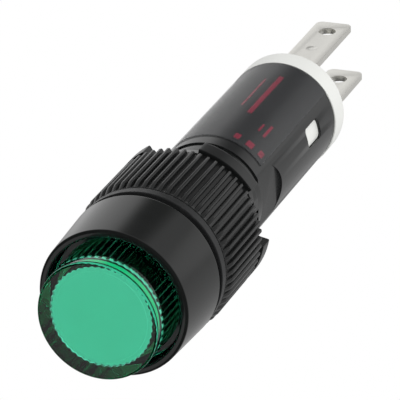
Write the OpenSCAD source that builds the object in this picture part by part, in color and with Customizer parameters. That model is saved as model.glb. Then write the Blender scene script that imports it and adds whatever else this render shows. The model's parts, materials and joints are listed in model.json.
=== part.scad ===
// Panel pilot light, 8 mm hole, with a projecting fluted lens and two blade terminals.
// The axis runs along Y: the lens looks towards -Y and the terminals point to +Y.
// The origin is on the axis, at the rear face of the bezel that seats on the panel.
// Lengths are millimetres.

/* [Bezel and barrel] */
// Outer diameter of the bezel at its front rim
bezel_front_d = 9.2; // [8.9:0.1:11]
// Outer diameter of the bezel where it meets the panel
bezel_rear_d = 9.66; // [9.3:0.02:12]
// Height of the bezel in front of the panel
bezel_h = 4.6; // [4:0.1:7]
// Rounding of the bezel's outer edges
bezel_edge_r = 0.15; // [0.05:0.01:0.25]
// Diameter of the front recess that the lens flange drops into
recess_d = 8.3; // [8.1:0.05:8.6]
// Depth of the front recess
recess_depth = 2; // [1.6:0.1:2.6]
// Depth of the second step, for the lens spigot and the holder's flange
step_depth = 1.6; // [1.2:0.1:2]
// Major diameter of the barrel's thread
thread_d = 7.9; // [7.7:0.05:8.2]
// Pitch of the barrel's thread
thread_pitch = 0.75; // [0.5:0.05:1]
// Radial depth of the barrel's thread
thread_depth = 0.36; // [0.2:0.02:0.44]
// Length of the threaded part behind the bezel
thread_len = 9.7; // [9:0.1:12]
// Distance across the barrel's two anti-rotation flats
barrel_flats = 7; // [6.8:0.05:7.4]
// Diameter of the neck between the thread and the body
neck_d = 6.9; // [6.4:0.1:7]
// Length of that neck
neck_len = 0.9; // [0.6:0.1:1.5]
// Diameter of the bore that the circuit board's front end lies in
barrel_bore_d = 5; // [4.9:0.05:5.2]
// Length of the rear spigot that plugs into the body tube
spigot_len = 3.2; // [2:0.1:4]

/* [Lens] */
// Outer diameter of the lens's clear wall
lens_d = 7.4; // [7:0.05:7.6]
// Height of the lens in front of the bezel rim
lens_proud = 2.35; // [1:0.05:5]
// Thickness of the lens's solid front
lens_face_t = 1.05; // [0.6:0.05:1.5]
// Thickness of the lens's clear side wall
lens_wall = 0.52; // [0.4:0.02:0.7]
// Rounding of the lens's front edge
lens_edge_r = 0.12; // [0.05:0.01:0.3]
// Thickness of the flange that holds the lens in the recess
lens_flange_t = 0.7; // [0.5:0.05:0.9]
// Wall of the lens's rear spigot
lens_spigot_wall = 0.32; // [0.25:0.01:0.4]
// Number of light-catching flutes inside the lens wall
flute_count = 48; // [24:4:72]
// Radial height of each inner flute
flute_h = 0.27; // [0.1:0.01:0.35]
// Thickness of the seal under the lens flange
lens_seal_t = 0.35; // [0.2:0.05:0.5]
// Thickness of the diffuser disc behind the lens face
diffuser_t = 0.3; // [0.15:0.05:0.6]

/* [Lamp and its holder] */
// Diameter of the lamp's domed body
led_d = 3; // [2.8:0.1:3.2]
// Diameter of the lamp's flange
led_flange_d = 3.8; // [3.5:0.1:4.2]
// Thickness of the lamp's flange
led_flange_t = 1; // [0.8:0.1:1.3]
// Length of the lamp from its flange's rear face to its tip
led_len = 5.3; // [4.5:0.1:5.8]
// Distance between the lamp's leads
led_pitch = 2.54; // [2.2:0.02:2.6]
// Side of the lamp's square leads
led_lead = 0.5; // [0.4:0.05:0.6]
// Outer diameter of the holder's tube
holder_tube_d = 5.7; // [5.4:0.05:5.8]
// Length of the holder's tube behind its flange
holder_len = 4.1; // [3.4:0.1:4.8]
// Thickness of the holder's flange
holder_flange_t = 0.65; // [0.4:0.05:0.8]
// Depth of the holder's rear pocket for the lamp's flange
holder_pocket = 1.5; // [1.2:0.1:2]
// Depth of the reflector cone in the holder's front
reflector_depth = 1.9; // [1.4:0.1:2.2]
// Diameter of the reflector cone's mouth
reflector_d = 5.4; // [4.6:0.1:5.6]

/* [Gasket, washer and ring nut] */
// Outer diameter of the panel gasket
gasket_d = 8.9; // [8.6:0.1:9.2]
// Thickness of the panel gasket
gasket_t = 0.45; // [0.3:0.05:1]
// Outer diameter of the washer
washer_d = 9.54; // [9:0.02:10.5]
// Thickness of the washer
washer_t = 0.65; // [0.4:0.05:1.2]
// Wall of the ring nut outside its bore
nut_wall = 0.98; // [0.6:0.01:2]
// Length of the ring nut
nut_len = 6.85; // [5:0.05:7.2]
// Axial length of the nut's front chamfer
nut_chamfer_len = 0.6; // [0.3:0.05:1]
// Radial height of the nut's front chamfer
nut_chamfer_h = 0.2; // [0.1:0.02:0.24]
// Length of the smooth collar at the nut's rear
nut_collar_len = 1.1; // [0.8:0.05:2]
// Width of the groove between the ribs and the collar
nut_groove_w = 0.35; // [0.2:0.05:0.6]
// Depth of that groove below the bottoms of the flutes
nut_groove_extra = 0.05; // [0.02:0.01:0.15]
// Number of ribs round the nut
rib_count = 60; // [30:2:72]
// Radius of the round-bottomed grooves between the ribs
rib_groove_r = 0.17; // [0.1:0.01:0.2]
// Depth of those grooves
rib_groove_h = 0.25; // [0.1:0.01:0.3]
// Number of spanner slots in the nut's collar
slot_count = 4; // [2:1:6]
// Angle that each spanner slot spans
slot_angle = 43; // [20:1:50]
// Turn of the first spanner slot above +X
slot_clock = 10; // [-45:1:45]

/* [Body] */
// Outer diameter of the body tube
body_d = 7.1; // [6.9:0.02:7.3]
// Inner diameter of the body tube
body_bore_d = 6; // [5.9:0.02:6.2]
// Length of the body tube
body_len = 12.65; // [12:0.05:18]
// Depth of the two flats milled at the body's front
body_flat_depth = 0.35; // [0.1:0.05:0.4]
// Length of those flats to the middle of their round end
body_flat_len = 1.35; // [0.8:0.05:4]
// Radius of the cutter that mills those flats
flat_cutter_r = 1.75; // [1.7:0.05:2.5]
// Width of the snap windows
window_w = 1.3; // [1:0.05:1.6]
// Length of the snap windows along the axis
window_len = 2.2; // [1.5:0.05:3]
// Distance from a snap window's rear edge to the body's rear end
window_inset = 2.5; // [2:0.05:3]
// Turn of the snap windows above +X
window_clock = 12; // [0:1:15]
// Rounding of the windows' corners
window_r = 0.3; // [0.1:0.05:0.45]
// Thickness of the clear film wrapped over the body
film_t = 0.06; // [0.04:0.01:0.12]
// Distance from the body's front end to the film
film_inset = 1.05; // [0.5:0.05:4]
// Angle above +X at which the film starts
film_start = 33; // [25:1:60]
// Angle that the film spans
film_span = 122; // [60:1:130]

/* [Terminal base] */
// Diameter of the base's rim behind the body
rim_d = 7.24; // [7:0.02:7.6]
// Thickness of that rim
rim_t = 1.7; // [1:0.05:3]
// Rounding of the rim's rear edge
rim_edge_r = 0.2; // [0.05:0.05:0.4]
// Length of the base's plug inside the body
plug_len = 5.4; // [5.2:0.1:7]
// Thickness of the snap arms
latch_t = 0.7; // [0.5:0.05:0.8]
// Depth of the snap bosses below the body's surface
latch_recess = 0.15; // [0:0.05:0.3]
// Depth of the slot that holds the circuit board's tongue
board_slot = 1.6; // [1:0.1:2.5]

/* [Terminals] */
// Width of the blades
blade_w = 2.4; // [2:0.05:2.6]
// Thickness of the blades
blade_t = 0.4; // [0.3:0.05:0.5]
// Distance between the two blades, centre to centre
blade_pitch = 4.14; // [3.8:0.02:4.2]
// Length of the upper blade behind the rim
upper_blade_len = 8.6; // [6:0.1:14]
// Length of the lower blade behind the rim
lower_blade_len = 10.5; // [6:0.1:14]
// Rounding of the blades' rear corners
blade_corner_r = 0.45; // [0.2:0.05:0.8]
// Diameter of the wire hole in each blade
wire_hole_d = 1.1; // [0.8:0.05:1.3]
// Distance from the wire hole's centre to the blade's end
wire_hole_inset = 1.55; // [1.2:0.05:3]
// Distance between the wire hole and the detent dimple
dimple_pitch = 2.98; // [2:0.02:4]
// Radius of the ball that presses the detent dimple
dimple_ball_r = 0.8; // [0.6:0.05:1.2]
// Depth of the detent dimple
dimple_depth = 0.1; // [0.05:0.01:0.15]
// Width of each terminal's solder foot
foot_w = 1.2; // [0.8:0.05:1.6]
// Length of each terminal's solder foot
foot_len = 1.3; // [0.8:0.05:2]

/* [Circuit board] */
// Thickness of the board
board_t = 0.8; // [0.6:0.05:0.9]
// Length of the board with its tongue
board_len = 10.8; // [10.4:0.1:11.6]
// Width of the tongue that enters the base
tongue_w = 3; // [2:0.1:3.1]
// Length of that tongue
tongue_len = 2; // [1.8:0.1:2.8]
// Length of the lamp's leads on the board
lead_overlap = 1.6; // [1:0.1:2]
// Diameter of the resistor's body
resistor_d = 1.6; // [1.2:0.1:1.8]
// Length of the resistor's body
resistor_len = 2.6; // [2:0.1:2.8]
// Diameter of the resistor's leads
resistor_lead_d = 0.4; // [0.3:0.05:0.5]
// Width of the rectifier's case
rectifier_w = 2.4; // [2:0.1:2.4]
// Length of the rectifier's case
rectifier_len = 3; // [2:0.1:3.2]
// Height of the rectifier's case
rectifier_h = 1; // [0.8:0.05:1.1]
// Height of the solder cones
solder_h = 0.55; // [0.3:0.05:0.6]
// Width of the solder rim round each lead
solder_rim = 0.25; // [0.15:0.05:0.35]

/* [Clearances] */
// Radial clearance of pieces that drop into one another
fit = 0.05; // [0.02:0.01:0.08]
// Radial clearance of the ring nut and washer on the thread
nut_fit = 0.04; // [0.02:0.01:0.08]
// Gap left between pieces that only face each other
face_gap = 0.03; // [0.01:0.01:0.08]

/* [Hidden] */
$fn = 96;
// Overrun of cutting shapes past the faces that they open
over = 0.5;
// Reach of cutting shapes that must clear the whole section
reach = 2 * bezel_rear_d;

// Stations along the axis
bezel_y = -bezel_h;
lens_y = bezel_y - lens_proud;
ledge_y = bezel_y + recess_depth;
seat_y = ledge_y + step_depth;
holder_end_y = seat_y + holder_len;
thread_end_y = thread_len;
body_y = thread_len + neck_len;
spigot_end_y = body_y + spigot_len;
body_end_y = body_y + body_len;
rim_end_y = body_end_y + rim_t;
plug_y = body_end_y - plug_len;

// Lens
lens_r = lens_d / 2;
cavity_r = lens_r - lens_wall;
flute_tip_r = cavity_r - flute_h;
flute_half_w = PI * flute_tip_r / flute_count;
// Radial room of the disc that leaves the named clearance on the flutes' flanks
diffuser_gap = fit * sqrt(pow(flute_half_w, 2) + pow(flute_h, 2)) / flute_half_w;
lens_spigot_r = cavity_r + lens_spigot_wall;
lens_flange_end_y = ledge_y - lens_seal_t;
lens_flange_y = lens_flange_end_y - lens_flange_t;
lens_inner_y = lens_y + lens_face_t;
lens_end_y = seat_y - holder_flange_t - face_gap;
step_r = lens_spigot_r + fit;

// Lamp
led_flange_y = holder_end_y - holder_pocket;
led_base_y = led_flange_y + led_flange_t;
led_tip_y = led_base_y - led_len;

// Gasket, washer and nut
washer_y = gasket_t;
nut_y = washer_y + washer_t;
nut_end_y = nut_y + nut_len;
nut_bore_r = thread_d / 2 + nut_fit;
nut_r = nut_bore_r + nut_wall;
washer_flats = barrel_flats + 2 * nut_fit;

// Board: its top carries the lamp's leads, which lie on the axis
board_top_z = -led_lead / 2;
board_bottom_z = board_top_z - board_t;
board_w = 2 * sqrt(pow(barrel_bore_d / 2 - fit, 2) - pow(board_bottom_z, 2));
board_end_y = plug_y + board_slot - face_gap;
board_y = board_end_y - board_len;
tongue_y = board_end_y - tongue_len;
lead_end_y = board_y + lead_overlap;

// Resistor on the board's top, its front lead between the lamp's leads
solder_gap = 0.1;
resistor_bend = 0.5;
resistor_waist = 0.1;
resistor_lift = 0.15;
resistor_mid_y = lead_end_y + resistor_bend + resistor_len / 2;
resistor_end_y = resistor_mid_y + resistor_len / 2 + resistor_bend;
resistor_z = board_top_z + resistor_d / 2 + resistor_lift;

// Rectifier under the board
leg_w = 0.5;
leg_t = 0.2;
leg_reach = 0.45;
leg_inset = 0.5;
rectifier_y = lead_end_y + resistor_bend;

// Terminals
blade_z = blade_pitch / 2;
foot_y = resistor_end_y + resistor_lead_d / 2 + foot_w / 2 + 2 * solder_rim + solder_gap;
foot_end_y = foot_y + foot_len;

// Snap windows
window_end_y = body_end_y - window_inset;
window_y = window_end_y - window_len;
latch_w = window_w - 2 * fit;
latch_y = window_y + 2 * fit;
latch_end_y = window_end_y - fit;
pocket_gap = 0.4;

// Turns a profile of [radius, y] points about the axis
module turned(profile) {
    rotate([-90, 0, 0]) rotate_extrude() polygon(profile);
}

// Solid rod on the axis from y0 to y1
module rod(r, y0, y1) {
    translate([0, y0, 0]) rotate([-90, 0, 0]) cylinder(r = r, h = y1 - y0);
}

// Plain ring on the axis from y0 to y1
module ring(r_out, r_in, y0, y1) {
    difference() {
        rod(r_out, y0, y1);
        rod(r_in, y0 - over, y1 + over);
    }
}

// Turns its children about the axis, by an angle counted from +X towards +Z
module clocked(angle) {
    rotate([0, -angle, 0]) children();
}

// Extrudes a shape drawn in [x, z] along the axis from y0 to y1
module along_axis(y0, y1) {
    translate([0, y1, 0]) rotate([90, 0, 0]) linear_extrude(height = y1 - y0) children();
}

// Box between two corners
module box(low, high) {
    translate(low) cube(high - low);
}

// Points of a quarter round about [cx, cy] from angle a0 to a1
function arc(cx, cy, r, a0, a1, steps = 6) =
    [for (i = [0:steps]) let (a = a0 + (a1 - a0) * i / steps) [cx + r * cos(a), cy + r * sin(a)]];

// Wedge that starts at an angle above +X and spans an angle under 180 degrees
module wedge(start, span) {
    a0 = start;
    a1 = start + span / 2;
    a2 = start + span;
    far = reach / cos(span / 4);
    polygon([[0, 0], [far * cos(a0), far * sin(a0)], [far * cos(a1), far * sin(a1)],
             [far * cos(a2), far * sin(a2)]]);
}

// Points of a ring of pointed flutes between two radii
function fluted(r_out, r_in) =
    [for (i = [0:2 * flute_count - 1])
        let (a = 180 * i / flute_count, r = (i % 2 == 0) ? r_out : r_in)
        [r * cos(a), r * sin(a)]];

// Two flat cuts, across the given distance, from y0 to y1
module flat_cuts(across, y0, y1) {
    for (side = [0, 180])
        rotate([0, side, 0]) box([across / 2, y0, -reach], [reach, y1, reach]);
}

// Clear lens: smooth outside, flutes inside its wall, held by a flange
module lens() {
    color("mediumseagreen", 0.6)
    difference() {
        turned(concat(
            [[0, lens_end_y], [0, lens_y]],
            arc(lens_r - lens_edge_r, lens_y + lens_edge_r, lens_edge_r, -90, 0),
            [[lens_r, lens_flange_y], [recess_d / 2 - fit, lens_flange_y],
             [recess_d / 2 - fit, lens_flange_end_y], [lens_spigot_r, lens_flange_end_y],
             [lens_spigot_r, lens_end_y]]));
        along_axis(lens_inner_y, lens_end_y + over) polygon(fluted(cavity_r, flute_tip_r));
    }
}

// Flat seal between the recess floor and the lens flange
module lens_seal() {
    color("dimgray") ring(recess_d / 2 - fit, step_r, lens_flange_end_y, ledge_y);
}

// White disc behind the lens face, toothed to sit between the flutes
module diffuser_disc() {
    color("honeydew")
        along_axis(lens_inner_y, lens_inner_y + diffuser_t)
            polygon(fluted(cavity_r - diffuser_gap, flute_tip_r - diffuser_gap));
}

// Profile of the thread as rings of the true pitch, rear end first
function thread_profile() =
    let (turns = floor((thread_len - thread_pitch) / thread_pitch), r = thread_d / 2)
    [for (i = [turns:-1:1]) let (y = i * thread_pitch)
        each [[r, y + thread_pitch / 2 + thread_pitch / 16], [r, y + thread_pitch / 2 - thread_pitch / 16],
              [r - thread_depth, y + thread_pitch / 16], [r - thread_depth, y - thread_pitch / 16]]];

// Bezel and threaded barrel, one turned piece
module bezel_barrel() {
    front_r = bezel_front_d / 2;
    rear_r = bezel_rear_d / 2;
    color([0.13, 0.13, 0.14])
    difference() {
        union() {
            turned(concat(
                [[0, bezel_y]],
                arc(front_r - bezel_edge_r, bezel_y + bezel_edge_r, bezel_edge_r, -90, 0),
                arc(rear_r - bezel_edge_r, -bezel_edge_r, bezel_edge_r, 0, 90),
                [[0, 0]]));
            difference() {
                turned(concat(
                    [[0, -bezel_edge_r], [0, thread_end_y], [thread_d / 2 - thread_depth, thread_end_y]],
                    thread_profile(),
                    [[thread_d / 2, thread_pitch / 2], [thread_d / 2, -bezel_edge_r]]));
                flat_cuts(barrel_flats, 0, thread_end_y + over);
            }
            rod(neck_d / 2, thread_end_y - face_gap, body_y);
            rod(body_bore_d / 2 - fit, body_y - face_gap, spigot_end_y);
        }
        rod(recess_d / 2, bezel_y - over, ledge_y);
        rod(step_r, ledge_y - over, seat_y);
        rod(holder_tube_d / 2 + fit, seat_y - over, holder_end_y);
        rod(barrel_bore_d / 2, holder_end_y - over, spigot_end_y + over);
    }
}

// White holder with a reflector cone for the lamp
module led_holder() {
    front_y = seat_y - holder_flange_t;
    color("whitesmoke")
    difference() {
        union() {
            rod(lens_spigot_r, front_y, seat_y);
            rod(holder_tube_d / 2, seat_y - face_gap, holder_end_y);
        }
        turned([[0, front_y - over], [reflector_d / 2, front_y - over], [reflector_d / 2, front_y],
                [led_d / 2 + fit, front_y + reflector_depth], [0, front_y + reflector_depth]]);
        rod(led_d / 2 + fit, front_y, holder_end_y);
        rod(led_flange_d / 2 + fit, led_flange_y, holder_end_y + over);
    }
}

// Domed lamp with a flange
module led_lamp() {
    dome_y = led_tip_y + led_d / 2;
    color("lightgreen", 0.8) {
        translate([0, dome_y, 0]) sphere(r = led_d / 2);
        rod(led_d / 2, dome_y, led_base_y);
        rod(led_flange_d / 2, led_flange_y, led_base_y);
    }
}

// The lamp's two leads, straight back to the board's top
module led_leads() {
    color("silver")
    for (side = [-1, 1])
        translate([side * led_pitch / 2, 0, 0])
            box([-led_lead / 2, led_base_y, -led_lead / 2], [led_lead / 2, lead_end_y, led_lead / 2]);
}

// Rubber gasket between the bezel and the panel
module panel_gasket() {
    color([0.08, 0.08, 0.08]) ring(gasket_d / 2, thread_d / 2 + fit, 0, gasket_t);
}

// Washer keyed on the barrel's flats
module lock_washer() {
    color([0.2, 0.2, 0.21])
    difference() {
        rod(washer_d / 2, washer_y, nut_y);
        difference() {
            rod(nut_bore_r, washer_y - over, nut_y + over);
            flat_cuts(washer_flats, washer_y - 2 * over, nut_y + 2 * over);
        }
    }
}

// Section of the nut through its ribs
module rib_section() {
    difference() {
        circle(r = nut_r);
        for (i = [0:rib_count - 1])
            rotate(360 * i / rib_count)
                translate([nut_r - rib_groove_h + rib_groove_r, 0]) circle(r = rib_groove_r);
    }
}

// Ribbed ring nut with spanner slots in its smooth rear collar
module lock_nut() {
    collar_y = nut_end_y - nut_collar_len;
    groove_y = collar_y - nut_groove_w;
    groove_r = nut_r - rib_groove_h - nut_groove_extra;
    edge = 0.1;
    color([0.15, 0.15, 0.16])
    difference() {
        union() {
            intersection() {
                along_axis(nut_y, groove_y) rib_section();
                turned([[0, nut_y], [nut_r - nut_chamfer_h, nut_y], [nut_r, nut_y + nut_chamfer_len],
                        [nut_r + over, nut_y + nut_chamfer_len], [nut_r + over, groove_y + over],
                        [0, groove_y + over]]);
            }
            turned([[0, groove_y], [groove_r, groove_y], [groove_r, collar_y], [nut_r, collar_y],
                    [nut_r, nut_end_y - edge], [nut_r - edge, nut_end_y], [0, nut_end_y]]);
        }
        for (i = [0:slot_count - 1])
            clocked(slot_clock + 360 * i / slot_count - slot_angle / 2)
                along_axis(collar_y - nut_groove_w / 2, nut_end_y + over) wedge(0, slot_angle);
        rod(nut_bore_r, nut_y - over, nut_end_y + over);
    }
}

// A rounded window cut through the wall on the +X side
module window_cut() {
    w = window_w / 2 - window_r;
    box([0, window_y + window_r, -window_w / 2], [reach, window_end_y - window_r, window_w / 2]);
    box([0, window_y, -w], [reach, window_end_y, w]);
    for (y = [window_y + window_r, window_end_y - window_r], z = [-w, w])
        translate([0, y, z]) rotate([0, 90, 0]) cylinder(r = window_r, h = reach);
}

// Round-ended flat milled in the wall on the +X side
module body_flat_cut() {
    flat_x = body_d / 2 - body_flat_depth;
    box([flat_x, body_y - over, -flat_cutter_r], [reach, body_y + body_flat_len, flat_cutter_r]);
    translate([flat_x, body_y + body_flat_len, 0])
        rotate([0, 90, 0]) cylinder(r = flat_cutter_r, h = reach);
}

// Plain tube with two milled flats and two snap windows
module body_tube() {
    color([0.2, 0.21, 0.21])
    difference() {
        ring(body_d / 2, body_bore_d / 2, body_y, body_end_y);
        for (side = [0, 180]) {
            clocked(side) body_flat_cut();
            clocked(window_clock + side) window_cut();
        }
    }
}

// Clear film wrapped over the top of the body
module label_film() {
    inner_r = body_d / 2 + face_gap / 3;
    color([0.55, 0.57, 0.58], 0.5)
    intersection() {
        ring(inner_r + film_t, inner_r, body_y + film_inset, body_end_y - face_gap);
        along_axis(body_y, body_end_y) wedge(film_start, film_span);
    }
}

// Circuit board with a narrow tongue at its rear
module circuit_board() {
    color("seagreen") {
        box([-board_w / 2, board_y, board_bottom_z], [board_w / 2, tongue_y, board_top_z]);
        box([-tongue_w / 2, tongue_y, board_bottom_z], [tongue_w / 2, board_end_y, board_top_z]);
    }
}

// Axial resistor on the board's top, with a bead at each end
module series_resistor() {
    bead_len = resistor_len / 4;
    y0 = resistor_mid_y - resistor_len / 2;
    y1 = resistor_mid_y + resistor_len / 2;
    color("burlywood")
    translate([0, 0, resistor_z]) {
        rod(resistor_d / 2, y0, y0 + bead_len);
        rod(resistor_d / 2 - resistor_waist, y0, y1);
        rod(resistor_d / 2, y1 - bead_len, y1);
    }
}

// The resistor's two leads, bent down to the board
module resistor_leads() {
    lead_r = resistor_lead_d / 2;
    color("silver")
    for (side = [-1, 1])
        translate([0, resistor_mid_y, 0]) {
            bend = side * (resistor_len / 2 + resistor_bend);
            near = side * resistor_len / 2;
            translate([0, 0, resistor_z]) rod(lead_r, min(bend, near), max(bend, near));
            translate([0, bend, resistor_z]) sphere(r = lead_r);
            translate([0, bend, board_top_z]) cylinder(r = lead_r, h = resistor_z - board_top_z);
        }
}

// Rectifier case under the board
module bridge_rectifier() {
    color([0.1, 0.1, 0.1])
    box([-rectifier_w / 2, rectifier_y, board_bottom_z - rectifier_h],
        [rectifier_w / 2, rectifier_y + rectifier_len, board_bottom_z]);
}

// The rectifier's four flat legs on the board
module rectifier_legs() {
    color("silver")
    for (side = [0, 180], y = [leg_inset, rectifier_len - leg_inset])
        translate([0, rectifier_y + y, board_bottom_z])
            rotate([0, 0, side])
                box([rectifier_w / 2, -leg_w / 2, -leg_t], [rectifier_w / 2 + leg_reach, leg_w / 2, 0]);
}

// Cone of solder on the board, +1 on its top and -1 under it
module solder_cone(side, r) {
    z = side > 0 ? board_top_z : board_bottom_z;
    translate([0, 0, z]) rotate([side > 0 ? 0 : 180, 0, 0]) cylinder(r1 = r, r2 = r * 0.7, h = solder_h);
}

// Solder round each lead and foot, with the lead's own room left free
module solder_joints() {
    bend = resistor_len / 2 + resistor_bend;
    color("lightgray") {
        for (x = [-led_pitch / 2, led_pitch / 2])
            translate([x, 0, 0])
                difference() {
                    translate([0, lead_end_y, 0]) solder_cone(1, led_lead / 2 + solder_rim);
                    box([-led_lead / 2, led_base_y, -led_lead / 2],
                        [led_lead / 2, lead_end_y, led_lead / 2 + over]);
                }
        for (y = [resistor_mid_y - bend, resistor_mid_y + bend])
            translate([0, y, 0])
                difference() {
                    solder_cone(1, resistor_lead_d / 2 + solder_rim);
                    translate([0, 0, board_top_z - over])
                        cylinder(r = resistor_lead_d / 2, h = solder_h + 2 * over);
                }
        for (side = [-1, 1])
            difference() {
                translate([0, foot_y, 0]) solder_cone(side, foot_w / 2 + solder_rim);
                foot_room(side);
            }
    }
}

// Room that a terminal's foot takes up on the board, with all that lies beyond it
module foot_room(side) {
    z = side > 0 ? board_top_z : board_bottom_z;
    low_z = side > 0 ? z - over : z - solder_h - over;
    high_z = side > 0 ? z + solder_h + over : z + over;
    box([-foot_w / 2, foot_y, low_z], [foot_w / 2, foot_end_y + over, high_z]);
}

// White rim and plug, with slots for the blades and the board, and two snap arms
module terminal_base() {
    plug_r = body_bore_d / 2 - fit;
    color("ivory")
    difference() {
        union() {
            turned(concat([[0, body_end_y]], [[rim_d / 2, body_end_y]],
                          arc(rim_d / 2 - rim_edge_r, rim_end_y - rim_edge_r, rim_edge_r, 0, 90),
                          [[0, rim_end_y]]));
            rod(plug_r, plug_y, body_end_y + over);
            for (side = [0, 180]) clocked(window_clock + side) snap_boss(plug_r);
        }
        for (side = [0, 180]) clocked(window_clock + side) snap_slit(plug_r);
        for (z = [-blade_z, blade_z])
            translate([0, 0, z])
                box([-blade_w / 2 - fit, plug_y - over, -blade_t / 2 - fit],
                    [blade_w / 2 + fit, rim_end_y + over, blade_t / 2 + fit]);
        box([-tongue_w / 2 - fit, plug_y - over, board_bottom_z - fit],
            [tongue_w / 2 + fit, plug_y + board_slot, board_top_z + fit]);
    }
}

// Boss on a snap arm that fills its window, a little below the tube's surface
module snap_boss(plug_r) {
    top_r = body_d / 2 - latch_recess;
    intersection() {
        rod(top_r, latch_y, latch_end_y);
        rotate([90, 0, 90])
            translate([0, 0, plug_r - over])
            linear_extrude(height = top_r)
                union() {
                    translate([latch_y, -latch_w / 2 + window_r])
                        square([latch_end_y - latch_y, latch_w - 2 * window_r]);
                    translate([latch_y + window_r, -latch_w / 2])
                        square([latch_end_y - latch_y - 2 * window_r, latch_w]);
                    for (y = [latch_y + window_r, latch_end_y - window_r],
                         z = [-latch_w / 2 + window_r, latch_w / 2 - window_r])
                        translate([y, z]) circle(r = window_r);
                }
    }
}

// Slits that free a snap arm from the plug on three sides
module snap_slit(plug_r) {
    arm_x = plug_r - latch_t;
    root_y = latch_end_y + pocket_gap;
    half_w = latch_w / 2;
    box([arm_x - pocket_gap, plug_y - over, -half_w - pocket_gap], [arm_x, root_y, half_w + pocket_gap]);
    for (z = [-half_w - pocket_gap, half_w])
        box([arm_x - over, plug_y - over, z], [reach, root_y, z + pocket_gap]);
}

// Side view of a strip of constant thickness that steps from height z0 to z1 between y1 and y2
function strip(y0, y1, y2, y3, z0, z1, t) =
    let (k = t / 2 * tan(atan2(z1 - z0, y2 - y1) / 2))
    [[y0, z0 - t / 2], [y1 + k, z0 - t / 2], [y2 + k, z1 - t / 2], [y3, z1 - t / 2],
     [y3, z1 + t / 2], [y2 - k, z1 + t / 2], [y1 - k, z0 + t / 2], [y0, z0 + t / 2]];

// Blade with a wire hole and a dimple, cranked inwards to a foot on the board; side is +1 or -1
module terminal(side, blade_len) {
    end_y = rim_end_y + blade_len;
    hole_y = end_y - wire_hole_inset;
    dimple_y = hole_y - dimple_pitch;
    foot_z = side > 0 ? board_top_z + blade_t / 2 : board_bottom_z - blade_t / 2;
    face_z = side * (blade_z + blade_t / 2);
    corner_x = blade_w / 2 - blade_corner_r;
    color("lightgray")
    difference() {
        union() {
            translate([0, 0, side * blade_z - blade_t / 2])
                linear_extrude(height = blade_t)
                    union() {
                        translate([-blade_w / 2, plug_y])
                            square([blade_w, end_y - blade_corner_r - plug_y]);
                        translate([-corner_x, plug_y]) square([2 * corner_x, end_y - plug_y]);
                        for (x = [-corner_x, corner_x])
                            translate([x, end_y - blade_corner_r]) circle(r = blade_corner_r);
                    }
            rotate([90, 0, 90])
                translate([0, 0, -foot_w / 2])
                linear_extrude(height = foot_w)
                    polygon(strip(foot_y, foot_end_y, plug_y - blade_t, plug_y + over,
                                  foot_z, side * blade_z, blade_t));
        }
        translate([0, hole_y, side * blade_z - blade_t / 2 - over])
            cylinder(r = wire_hole_d / 2, h = blade_t + 2 * over);
        translate([0, dimple_y, face_z + side * (dimple_ball_r - dimple_depth)]) sphere(r = dimple_ball_r);
    }
}

module terminal_upper() {
    terminal(1, upper_blade_len);
}

module terminal_lower() {
    terminal(-1, lower_blade_len);
}

lens();
lens_seal();
diffuser_disc();
bezel_barrel();
led_holder();
led_lamp();
led_leads();
panel_gasket();
lock_washer();
lock_nut();
body_tube();
label_film();
circuit_board();
series_resistor();
resistor_leads();
bridge_rectifier();
rectifier_legs();
solder_joints();
terminal_base();
terminal_upper();
terminal_lower();
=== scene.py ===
"""Looks of a small green panel pilot light: lens, black bezel, ribbed ring nut, body and blades."""

import json
import math

import bmesh
import bpy
import numpy as np
from mathutils import Matrix, Vector

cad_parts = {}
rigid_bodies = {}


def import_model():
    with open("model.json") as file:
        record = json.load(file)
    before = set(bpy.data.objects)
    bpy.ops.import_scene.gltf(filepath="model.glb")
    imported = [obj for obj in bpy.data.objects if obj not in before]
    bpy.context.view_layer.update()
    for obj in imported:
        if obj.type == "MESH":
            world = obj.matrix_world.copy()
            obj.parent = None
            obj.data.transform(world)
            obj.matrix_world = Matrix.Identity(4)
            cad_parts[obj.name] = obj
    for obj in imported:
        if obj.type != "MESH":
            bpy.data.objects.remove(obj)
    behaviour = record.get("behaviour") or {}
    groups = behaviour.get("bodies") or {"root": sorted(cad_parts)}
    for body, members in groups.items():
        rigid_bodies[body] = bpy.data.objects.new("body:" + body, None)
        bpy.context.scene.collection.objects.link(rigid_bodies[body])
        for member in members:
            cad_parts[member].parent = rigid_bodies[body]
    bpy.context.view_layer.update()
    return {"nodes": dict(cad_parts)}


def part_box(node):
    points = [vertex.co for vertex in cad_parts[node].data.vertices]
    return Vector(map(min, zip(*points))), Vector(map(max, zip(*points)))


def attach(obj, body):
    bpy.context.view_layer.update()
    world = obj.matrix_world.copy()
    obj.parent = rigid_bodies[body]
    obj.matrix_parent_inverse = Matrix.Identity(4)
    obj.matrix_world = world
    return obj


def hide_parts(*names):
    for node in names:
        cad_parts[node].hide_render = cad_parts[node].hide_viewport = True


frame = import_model()
MM = 0.001


def span(node):
    """Lowest and highest corners of a CAD node, in millimetres."""
    low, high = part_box(node)
    return [c / MM for c in low], [c / MM for c in high]


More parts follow.
